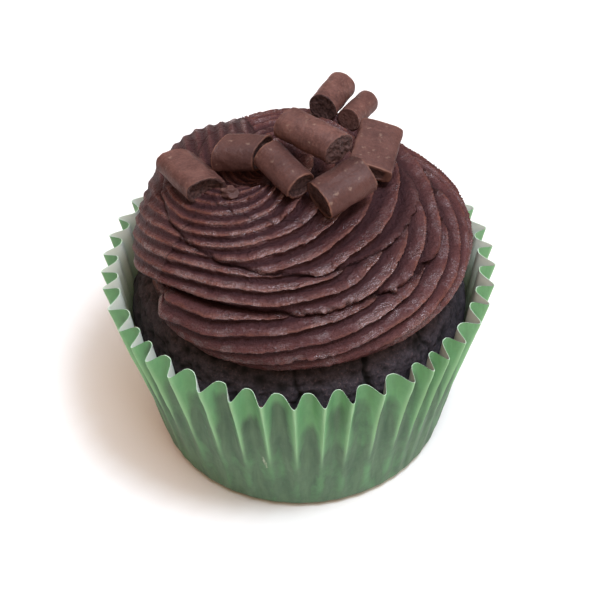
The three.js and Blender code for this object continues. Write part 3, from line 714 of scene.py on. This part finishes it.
def rope_facts(theta, walk):
    """Where each point lies in the rope: the turn and the degrees piped at it, the count of the flutes and how
    crowded they are, how far above it and below it, in mm walked, the nearest seams are, and whether flutes
    cross it."""
    t = np.radians(theta)
    piped = theta - TAIL_ANGLE
    r, z = np.interp(walk, outline_walk, outline_r), np.interp(walk, outline_walk, outline_z)
    x, y = r * np.cos(t), r * np.sin(t)
    ragged = 0.30 * grain(x, y, z, 1.5, 21) + 0.32 * grain(x, y, z, 0.7, 22)
    turn = np.full(walk.shape, -1)
    above = np.full(walk.shape, 99.0)
    below = np.full(walk.shape, 99.0)
    for number in range(5):
        total = piped + 360 * (number - 1)
        edge = seam(total)
        rough = changed_within(0.30, SEAM_RAGGED, total)
        notched = changed_within(0.7, SEAM_CALMER, total)
        edge = edge + notched * (groove(flute_along(number, piped, theta, edge), 1) - 0.55) + rough * ragged
        passed = walk >= edge
        above = np.where(~passed & (above > 90), edge - walk, above)
        below = np.where(passed, walk - edge, below)
        turn = np.where(passed, number, turn)
    handing = smooth(*HANDED_OVER, piped)
    count = np.zeros(walk.shape)
    dense = np.zeros(walk.shape)
    for number in range(-1, 5):
        here = flute_count(0, theta, walk) if number < 0 else flute_along(number, piped, theta, walk)
        mixed = (1 - handing) * crowding(number, t) + handing * crowding(number + 1, t)
        count = np.where(turn == number, here, count)
        dense = np.where(turn == number, mixed, dense)
    jagged = grain(x, y, z, 2.4, 23) + grain(x, y, z, 0.8, 24)
    jagged = jagged * (0.045 - 0.030 * within(*RIGHT_SPAN, theta))
    count = count + 0.12 * uneven(x + 9, y, z, 0.5) + jagged
    wavy = uneven(x, y + 5, z, 0.5)
    over = within(*CROSSED_SPAN, theta + 7 * wavy) * within(*CROSSED_LEVELS, walk + 2.0 * wavy)
    crossing = (CROSSING_WAY[0] * x + CROSSING_WAY[1] * y) / CROSSING_PITCH + 0.1 * uneven(x, y, z, 0.6)
    count = np.where(over > 0.5, crossing, count)
    dense = np.where(over > 0.5, 1 / CROSSING_PITCH, dense)
    dense = dense / np.maximum(np.abs(2 * over - 1) ** 0.5, 0.1) ** 0.6
    return turn, piped + 360 * (turn - 1), count, dense, above, below, over


def mound(theta, walk):
    """The smooth mound that the rope is wound into: x, y and z, and how much its normal points out and up. It
    is the outline turned round an axis that leans more the higher it is. Its foot swells near the tail and is
    tucked in at two places."""
    t = np.radians(theta)
    r, z = np.interp(walk, outline_walk, outline_r), np.interp(walk, outline_walk, outline_z)
    slope_r = np.interp(walk, outline_walk, np.gradient(outline_r, outline_walk))
    slope_z = np.interp(walk, outline_walk, np.gradient(outline_z, outline_walk))
    out, up = slope_z / np.hypot(slope_r, slope_z), -slope_r / np.hypot(slope_r, slope_z)
    lean = np.clip((z - BELLY_Z) / ICING_RISE, 0, 1) ** LEAN_CURVE
    near_tail = (0.5 + 0.5 * np.cos(t - np.radians(TAIL_SWELL_ANGLE))) ** 4
    r = r + TAIL_SWELL * near_tail * (1 - smooth(0, 10, walk))
    for angle, spread, low, high, depth in FOOT_TUCKS:
        r = r - depth * np.exp(-(((theta - angle) / spread) ** 2)) * (1 - smooth(low, high, walk))
    r = r + patch(theta, walk, *TAIL_BULGE)
    x = BELLY_SHIFT[0] + (TOP_SHIFT[0] - BELLY_SHIFT[0]) * lean + r * np.cos(t)
    y = BELLY_SHIFT[1] + (TOP_SHIFT[1] - BELLY_SHIFT[1]) * lean + r * np.sin(t)
    return x, y, z, out, up


def icing_surface(theta, walk):
    """Points of the icing on a grid of angle and level, the way into the mound at each, and the facts. The
    mound is sunk along its normal by the flutes' grooves, the seams, the recess of the tail, the well and the
    fine crumbling of the paste, and raised by its swells; each crest leans down over the groove below it. The
    facts are how near a point is to a crest, lessened on the right flanks, where flutes cross and at the tail,
    for painted highlight on the crests and painted shade in the grooves; how near it is to a seam, for painted
    shade in the seams; how moist it is, its flute count and the way piped."""
    t = np.radians(theta)
    piped = theta - TAIL_ANGLE
    turn, total, count, dense, above, below, over = rope_facts(theta, walk)
    x, y, z, out, up = mound(theta, walk)
    right, left, front = (np.maximum(value, 0) for value in (np.cos(t - 0.1), -np.cos(t), -np.sin(t + 0.2)))
    from_back = np.where(theta > 90, theta - 360, theta)
    upper_left = within(*UPPER_LEFT_LEVELS, walk) * within(*UPPER_LEFT_SPAN, from_back)
    skewed = FLUTE_SKEW_BACK + (FLUTE_SKEW - FLUTE_SKEW_BACK) * front
    cut = groove(count, skewed - 0.35 * upper_left, 0.85 + 0.5 * left + 0.25 * upper_left + 0.4 * over)
    tail = (1 - smooth(*TAIL_LEVELS, walk)) * within(*TAIL_SPAN, theta)
    angle, spread, amount = FLAT_LEFT
    flattened = amount * np.exp(-(((theta - angle) / spread) ** 2)) * within(*FLAT_LEFT_LEVELS, walk)
    strength = 1 - flattened + RIGHT_DEEPER * right
    for place, share in zip((upper_left, left, over, tail), SHALLOWER):
        strength = strength * (1 - share * place)
    varied = 1 + 0.3 * uneven(x, y, z, 0.35) + 0.15 * grain(x, y, z, 3.0, 25)
    depth = (FLUTE_DEPTH / dense) * strength * varied
    nearest = np.minimum(above, below)
    worn_off = 1 - 0.6 * np.exp(-((nearest / 1.1) ** 2)) * (total + 180 > 300)
    sunk = depth * cut * np.where(turn < 0, 0.9, 1.0) * worn_off
    sunk = sunk + SEAM_SHARE * seam_depth(total + 360) * np.exp(-above / SEAM_REACH[0])
    lapping = np.where(turn == 0, smooth(-45, -10, total), 1.0)
    under = np.exp(-((below / SEAM_REACH[1]) ** 1.5)) * lapping * (turn >= 0)
    sunk = sunk + SEAM_SHARE * seam_depth(total) * under
    sunk = sunk + np.where((turn == 0) & (piped < 180), TAIL_RECESS * (1 - smooth(0, 8, piped)), 0)
    sunk = sunk + np.where(turn < 0, START_RECESS * smooth(325, 350, piped), 0)
    torn = np.zeros(walk.shape)
    for place in TORN_PATCHES:
        torn = np.maximum(torn, patch(theta, walk, *place))
    crumbling = (0.07 + 0.22 * torn) * grain(x, y, z, 0.8, 26)
    crumbling = crumbling + (0.06 + 0.13 * torn) * grain(x, y, z, 0.42, 27)
    calm = 1 - 0.75 * within(*RIGHT_SPAN, theta)
    crumbling = crumbling * calm * (0.5 + 0.9 * (1 - cut) ** 2)
    sunk = sunk + crumbling + 0.05 * grain(count * 7, total * 0.1, 0 * count, 1.0, 28)
    ends = smooth(-0.4, 0.7, walk) * (1 - smooth(MOUND_WALK - 4, MOUND_WALK, walk))
    from_well = ((x - WELL_PLACE[0]) / WELL_RADII[0]) ** 2 + ((y - WELL_PLACE[1]) / WELL_RADII[1]) ** 2
    well = WELL_DEPTH * np.exp(-(from_well**2))
    bed = BED_RISE * np.exp(-((x - BED_PLACE[0]) ** 2 + (y - BED_PLACE[1]) ** 2) / BED_RADIUS**2)
    sunk = sunk * ends - (sum(patch(theta, walk, *place) for place in SWELLS) + bed) + well
    lip = LIP_LEAN * (1 - 0.75 * left) * (1 - over) * depth * (1 - cut) ** 2 * ends * smooth(0.2, 1.2, walk)
    points = np.stack([x, y, z], axis=-1)
    points = points - np.stack([sunk * out * np.cos(t), sunk * out * np.sin(t), sunk * up], axis=-1)
    points = points + np.stack([lip * up * np.cos(t), lip * up * np.sin(t), -lip * out], axis=-1)
    inward = -np.stack([out * np.cos(t), out * np.sin(t), np.maximum(up, 0.2)], axis=-1)
    # Crest share: painted highlight on crests, painted shade in grooves, darker on right flanks, crossings and
    # tail.
    crest = (1 - cut) ** (1 + 0.8 * (1 - calm)) * (1 - 0.35 * over) * (1 - 0.16 * tail)
    dried = smooth(-52, -20, theta + 1.2 * (20 - walk)) * (1 - smooth(150, 190, theta))
    moist = (1 - 0.4 * dried - 0.55 * left**3) * (1 - 0.35 * tail)
    # Nearness to a seam, for painted shade in the crevice between turns.
    near_seam = np.exp(-nearest / 0.8)
    facts = {"crest": crest, "moist": moist, "near_seam": near_seam, "across": count, "along": total * 0.5}
    return points, inward / np.linalg.norm(inward, axis=-1, keepdims=True), facts


PRESS_STEP = 0.08
PRESS_STEPS = 100


def press_in(points, inward, curls, clearance):
    """The soft icing gives way under the curls: a point inside one, or nearly, moves back into the mound."""
    shape = points.shape
    points, inward = points.reshape(-1, 3).copy(), inward.reshape(-1, 3)
    for curl in curls:
        length, width, height = curl["size"]
        picked = np.flatnonzero(np.linalg.norm(points - np.array(curl["at"]), axis=1) < length)
        for _ in range(PRESS_STEPS):
            away = points[picked] - np.array(curl["at"])
            s = away @ curl["side"] / (width / 2 + clearance)
            u = away @ curl["up"] / (height / 2 + clearance)
            a = np.abs(away @ curl["along"] - curl["slant"] * s)
            picked = picked[(a < length / 2 + clearance) & (s * s + u * u < 1) & (u > -curl["floor"])]
            if len(picked) == 0:
                break
            points[picked] += PRESS_STEP * inward[picked]
    return points.reshape(shape)


# The columns are a little closer together in front. In each column the rows crowd on the crests and the seams.
ICING_COLUMNS = 430
ICING_ROWS = 229
FRONT_CROWDING = 0.30
PRESS_CLEARANCE = 0.12
even_turn = np.arange(ICING_COLUMNS) / ICING_COLUMNS - 0.5
theta = -90 + 360 * even_turn - FRONT_CROWDING * np.degrees(np.sin(2 * np.pi * even_turn))
theta = np.sort(np.where(theta < TAIL_ANGLE, theta + 360, theta))
fine_walk = np.linspace(0, MOUND_WALK, 1400)
WALK, THETA = np.meshgrid(fine_walk, theta, indexing="ij")
_, _, count, dense, above, below, _ = rope_facts(THETA, WALK)
from_crest = np.minimum(count % 1, 1.35 * (1 - count % 1)) / np.maximum(dense, 0.1)
wanted = 1 + 2.2 * np.exp(-((from_crest / 0.35) ** 2)) + 1.5 * np.exp(-np.minimum(above, below) / 0.6)
wanted = wanted * (1 - 0.5 * smooth(MOUND_WALK - 6, MOUND_WALK, WALK))
filled = np.cumsum(wanted, axis=0)
filled = (filled - filled[:1]) / (filled[-1:] - filled[:1])
shares = np.linspace(0, 1, ICING_ROWS)
WALK = np.stack([np.interp(shares, filled[:, i], fine_walk) for i in range(ICING_COLUMNS)], axis=1)
THETA = np.broadcast_to(theta, WALK.shape)
points, inward, icing_facts = icing_surface(THETA, WALK)
points = press_in(points, inward, CURLS, PRESS_CLEARANCE)
points[-1] = points[-1].mean(axis=0)
foot = np.broadcast_to([BELLY_SHIFT[0], BELLY_SHIFT[1], ICING_FOOT_Z], points[:1].shape)
icing_points = np.concatenate([foot, points])
icing_facts = {fact: np.concatenate([values[:1], values]) for fact, values in icing_facts.items()}

# Icing colour: painted shade in the grooves, the brown of the flanks, and a painted highlight on the crests.
GROOVE_PAINTED_SHADE, FLANK_BROWN = (0.039, 0.0147, 0.0163), (0.085, 0.0306, 0.0294)
CREST_PAINTED_HIGHLIGHT = (0.146, 0.0525, 0.0375)
PASTE_BROWN = (0.043, 0.0165, 0.0170)
FLECK_BROWN = (0.030, 0.0110, 0.0112)
SEAM_PAINTED_SHADE = (0.030, 0.0114, 0.0122)
buttercream, tree, shader = plain_material("chocolate_buttercream", (0.075, 0.030, 0.030), 0.42)
shader.inputs["Specular Tint"].default_value = (1.0, 0.84, 0.86, 1)


def combed(tree, across, along, detail):
    """Noise between 0 and 1 drawn out along the flutes: cells per flute and cells per millimetre piped."""
    joined = new_node(tree, "CombineXYZ")
    tree.links.new(product_of(fact(tree, "across"), across), joined.inputs["X"])
    tree.links.new(product_of(fact(tree, "along"), along), joined.inputs["Y"])
    noise = new_node(tree, "TexNoise", Scale=1.0, Detail=detail)
    tree.links.new(joined.outputs["Vector"], noise.inputs["Vector"])
    return noise.outputs["Fac"]


paste = speckle(tree, 300, 4, 0.6)
fine = speckle(tree, 1500, 3, 0.65)
tiny = speckle(tree, 4600, 2, 0.5)
streaks = combed(tree, 7, 0.35, 3)
smeared = combed(tree, 0.8, 0.09, 2)
moist = fact(tree, "moist")
# Tone: crest share plus streaks, from painted shade in the grooves to painted highlight on the crests.
tone = total_of(fact(tree, "crest"), ramp(streaks, 0.3, 0.7, -0.12, 0.12))
colour = tinted(GROOVE_PAINTED_SHADE, FLANK_BROWN, tone, 0.08, 0.66)
colour = tinted(colour, CREST_PAINTED_HIGHLIGHT, tone, 0.76, 1.04)
colour = tinted(colour, PASTE_BROWN, paste, 0.4, 0.75, 0.5)
colour = tinted(colour, FLECK_BROWN, fine, 0.52, 0.66, 0.38)
# Painted shade in the seams between the turns of the rope.
colour = tinted(colour, SEAM_PAINTED_SHADE, fact(tree, "near_seam"), 0.3, 1, 0.7)
wet = total_of(ramp(smeared, 0.41, 0.55, 0, 0.6), ramp(paste, 0.42, 0.58, 0, 0.6))
wet = product_of(wet, product_of(moist, ramp(tone, 0.2, 0.6)))
wet = product_of(wet, ramp(fine, 0.30, 0.54, 0.62, 1.0))
wet = product_of(wet, ramp(tiny, 0.40, 0.60, 0.70, 1.30))
buttery = product_of(ramp(moist, 0.7, 1.0, 0.0, 0.30), ramp(tone, 0.45, 0.85))
tree.links.new(ramp(wet, 0.2, 0.85, 0.52, 0.16), shader.inputs["Roughness"])
polish = total_of(ramp(wet, 0.3, 0.85, 0.14, 1.2), buttery)
tree.links.new(polish, shader.inputs["Specular IOR Level"])
relief = total_of(fine, product_of(tiny, 0.5))
relief = total_of(relief, product_of(streaks, 0.8))
relief = product_of(relief, ramp(wet, 0.2, 1.0, 1.0, 0.7))
finish(shader, colour, relief, 0.00054)
icing_quads = ring_faces(*icing_points.shape[:2])
icing = make_piece("icing_swirl", icing_points, icing_quads, [buttercream], facts=icing_facts)
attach(icing, "root")
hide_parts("icing")

# ---- Chocolate curls: their rolled sheets ----
# Matt milk chocolate, rolled on itself with a step where the free edge of the sheet lies, pale specks of sugar
# bloom, and broken ends that show the sheet's thickness and a rough core set back behind it, painted dark as
# painted shade in the hollow of the roll.
CURL_COLUMNS = 112
CURL_RINGS = 30
ROLLED_DEGREES = 352
CURL_SEED = 21
# For each curl: the angle of its free edge, the step there, how square its section is, how thick the sheet is,
# how hollow each end is, how rough and how worn they are, how dark each end's core is painted, as painted
# shade, and the tone of the curl.
CURL_LOOKS = (
    (20, 0.13, 2.3, 0.55, (0.2, 1.1), 0.40, 0.85, (1, 1), 0.72),
    (215, 0.10, 2.7, 0.55, (0.2, 0.6), 0.20, 0.2, (1, 1), 0.27),
    (200, 0.16, 2.0, 0.55, (2.4, 0.5), 0.25, 0.35, (1, 1), 0.36),
    (300, 0.08, 2.1, 0.5, (0.2, 0.15), 0.38, 0.9, (1, 0.9), 0.78),
    (100, 0.09, 2.2, 0.5, (0.5, 0.4), 0.34, 0.15, (0.8, 1), 0.36),
    (262, 0.10, 4.2, 0.6, (0.5, 0.25), 0.14, 0.3, (1, 0.75), 0.5),
    (260, 0.06, 2.0, 0.6, (0.1, 0.1), 0.16, 1.0, (0.95, 1), 1.0),
    (280, 0.06, 2.0, 0.5, (0.05, 0.1), 0.10, 1.0, (0.5, 1), 0.7),
)


def curl_points(curl, look, seed):
    """Rings along the curl: the broken inside of each end, the sheet's edge, and the outer skin, whose section
    is an ellipse or a squarer oval that grows round the turn and steps back at the free edge. The facts are the
    share of the rough core, which is painted dark as painted shade in the hollow end, the nearness of a corner,
    the turn round the curl and the place along it."""
    length, width, height = curl["size"]
    edge, lap, square, sheet, hollows, end_rough, worn, darks, _ = look
    around = np.linspace(0, 1, CURL_COLUMNS)
    phi = np.radians(edge + ROLLED_DEGREES * around)
    grow = 1 - lap * (1 - around)
    c, s = np.cos(phi), np.sin(phi)
    shape_c = np.sign(c) * np.abs(c) ** (2 / square)
    shape_s = np.sign(s) * np.abs(s) ** (2 / square)
    half = length / 2
    rim = 1 - 2 * sheet / min(width, height)
    rings = []
    facts = []

    def ring(place, scale, core, corner, rough):
        """One ring of the curl: its section at that scale, set at that place along it and torn by rough."""
        x = grow * scale * shape_c * width / 2
        y = grow * scale * shape_s * height / 2
        z = 0 * x + place
        torn = 0.7 * grain(x, y, z, 1.1, seed) + 0.5 * grain(x, y, z, 0.45, seed + 1)
        a = place + curl["slant"] * 2 * x / width + rough * torn
        skin = (0.045 * grain(x, y, z, 2.4, seed + 2) + 0.022 * grain(x, y, z, 0.9, seed + 3)) * (scale > 0.9)
        along, side, up = a[:, None] * curl["along"], x * (1 + skin), y * (1 + skin)
        rings.append(np.array(curl["at"]) + along + side[:, None] * curl["side"] + up[:, None] * curl["up"])
        facts.append(np.stack([0 * x + core, 0 * x + corner, around * np.pi * width, z]))

    for end, recess, dark in zip((-1, 1), hollows, darks):
        # Each ring of an end: its scale, how far it is set back, its share of core and of corner.
        order = [(share * rim, recess * (1 - 0.5 * share**3), 1.0, 0.0) for share in np.linspace(0, 1, 12)]
        order += [
            (rim + 0.03, recess * 0.35, 0.7, 0.0),
            (rim + 0.06, 0.0, max(0.4, worn), 0.2 * (1 - worn)),
            ((rim + 1) / 2, 0.0, max(0.3, worn), 0.4 * (1 - worn)),
            (0.97, 0.0, worn, 0.9 * (1 - worn)),
            (0.992, 0.05, 0.5 * worn, 1.0 - 0.7 * worn),
            (1.0, 0.2, 0.0, 0.7 - 0.5 * worn),
        ]
        for scale, back, core, corner in order[::-end]:
            rough = end_rough * (1.0 if scale < rim else 0.45)
            ring(end * (half - back), scale, core * dark, corner, rough)
        if end < 0:
            for place in np.linspace(-half, half, CURL_RINGS)[1:-1]:
                ring(place, 1.0, 0.0, 0.0, 0.0)
    return np.stack(rings), np.stack(facts)


CHOCOLATE_DARK, CHOCOLATE_MILKY = (0.056, 0.0215, 0.0180), (0.164, 0.072, 0.057)
BLOOM = (0.28, 0.18, 0.135)
CORNER_BROWN = (0.235, 0.104, 0.066)
CORE_PAINTED_SHADE, CORE_CRUMB = (0.023, 0.0105, 0.0098), (0.085, 0.044, 0.039)
milk_chocolate, tree, shader = plain_material("milk_chocolate", (0.17, 0.082, 0.072), 0.55, 0.22)
cloudy = speckle(tree, 260, 5, 0.68)
fine = speckle(tree, 2100, 3, 0.6)
specks = speckle(tree, 900, 2, 0.5)
scraped = combed(tree, 1.0, 1.0, 2)
mixed = total_of(ramp(cloudy, 0.32, 0.68, 0.05, 0.85), ramp(fine, 0.3, 0.7, -0.15, 0.25))
mixed = total_of(mixed, ramp(scraped, 0.35, 0.65, -0.08, 0.08))
mixed = product_of(mixed, fact(tree, "tone"))
colour = tinted(CHOCOLATE_DARK, CHOCOLATE_MILKY, mixed, 0.0, 0.9)
colour = tinted(colour, BLOOM, specks, 0.64, 0.78, 0.55)
corner_share = product_of(fact(tree, "corner"), ramp(cloudy, 0.35, 0.6, 0.1, 0.75))
colour = tinted(colour, CORNER_BROWN, corner_share)
# The core of each end is painted dark: painted shade in the roll's hollow, mottled like rough broken chocolate.
rough_core = tinted(CORE_PAINTED_SHADE, CORE_CRUMB, fine, 0.35, 0.65)
colour = tinted(colour, rough_core, fact(tree, "core"), 0.3, 0.9)
tree.links.new(ramp(cloudy, 0.3, 0.7, 0.66, 0.46), shader.inputs["Roughness"])
finish(shader, colour, total_of(fine, product_of(scraped, 0.35)), 0.00016, 0.9)
for number, (curl, look) in enumerate(zip(CURLS, CURL_LOOKS), start=1):
    rolled, facts = curl_points(curl, look, CURL_SEED + 10 * number)
    core, corner, around, along = facts.transpose(1, 0, 2)
    facts = {"core": core, "corner": corner, "across": along * 3.2, "along": around * 0.25}
    facts["tone"] = 0 * core + look[-1]
    faces = ring_faces(*rolled.shape[:2])
    piece = make_piece(f"chocolate_curl_{number}", rolled, faces, [milk_chocolate], facts=facts, sharp=50)
    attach(piece, "root")
    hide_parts(f"curl_{number}")

# ---- Chocolate scrap and crumb ----
# A torn flake of the same chocolate left beside the first curl, pressed into the icing, and a baked crumb
# caught in a fold at the rim of the case. Both are balls pushed in and out at random.
LUMP_COLUMNS = 48
LUMP_RINGS = 33
# Each lump's middle, its radii, how lumpy it is, its tone, its share of rough core and its seed.
LUMPS = (
    ("chocolate_scrap", (-11.1, -6.3, 59.85), (1.5, 1.2, 1.0), 0.55, 0.25, 0.35, 121),
    ("rim_crumb", (-7.0, -31.65, 33.0), (0.42, 0.36, 0.4), 0.3, 1.6, 0.0, 131),
)
lump_columns = np.linspace(0, 2 * np.pi, LUMP_COLUMNS + 1)[:-1]
lump_turn, lump_fall = np.meshgrid(lump_columns, np.linspace(np.pi, 0, LUMP_RINGS))
lump_out = np.sin(lump_fall)
ball = np.stack([lump_out * np.cos(lump_turn), lump_out * np.sin(lump_turn), np.cos(lump_fall)], axis=-1)
for name, middle, radii, lumpiness, tone, core, seed in LUMPS:
    x, y, z = np.moveaxis(ball, -1, 0)
    hills = grain(x, y, z, 0.75, seed) + 0.45 * grain(x, y, z, 0.3, seed + 1)
    lump_points = np.array(middle) + ball * np.array(radii) * (1 + lumpiness * hills)[..., None]
    lump_points[0], lump_points[-1] = lump_points[0].mean(axis=0), lump_points[-1].mean(axis=0)
    facts = {"core": 0 * hills + core, "corner": np.clip(hills, 0, 1) * 0.3}
    facts.update({"across": lump_turn * 2, "along": lump_fall * 2, "tone": 0 * hills + tone})
    faces = ring_faces(*lump_points.shape[:2])
    lump = make_piece(name, lump_points, faces, [milk_chocolate], facts=facts, sharp=40)
    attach(lump, "root")
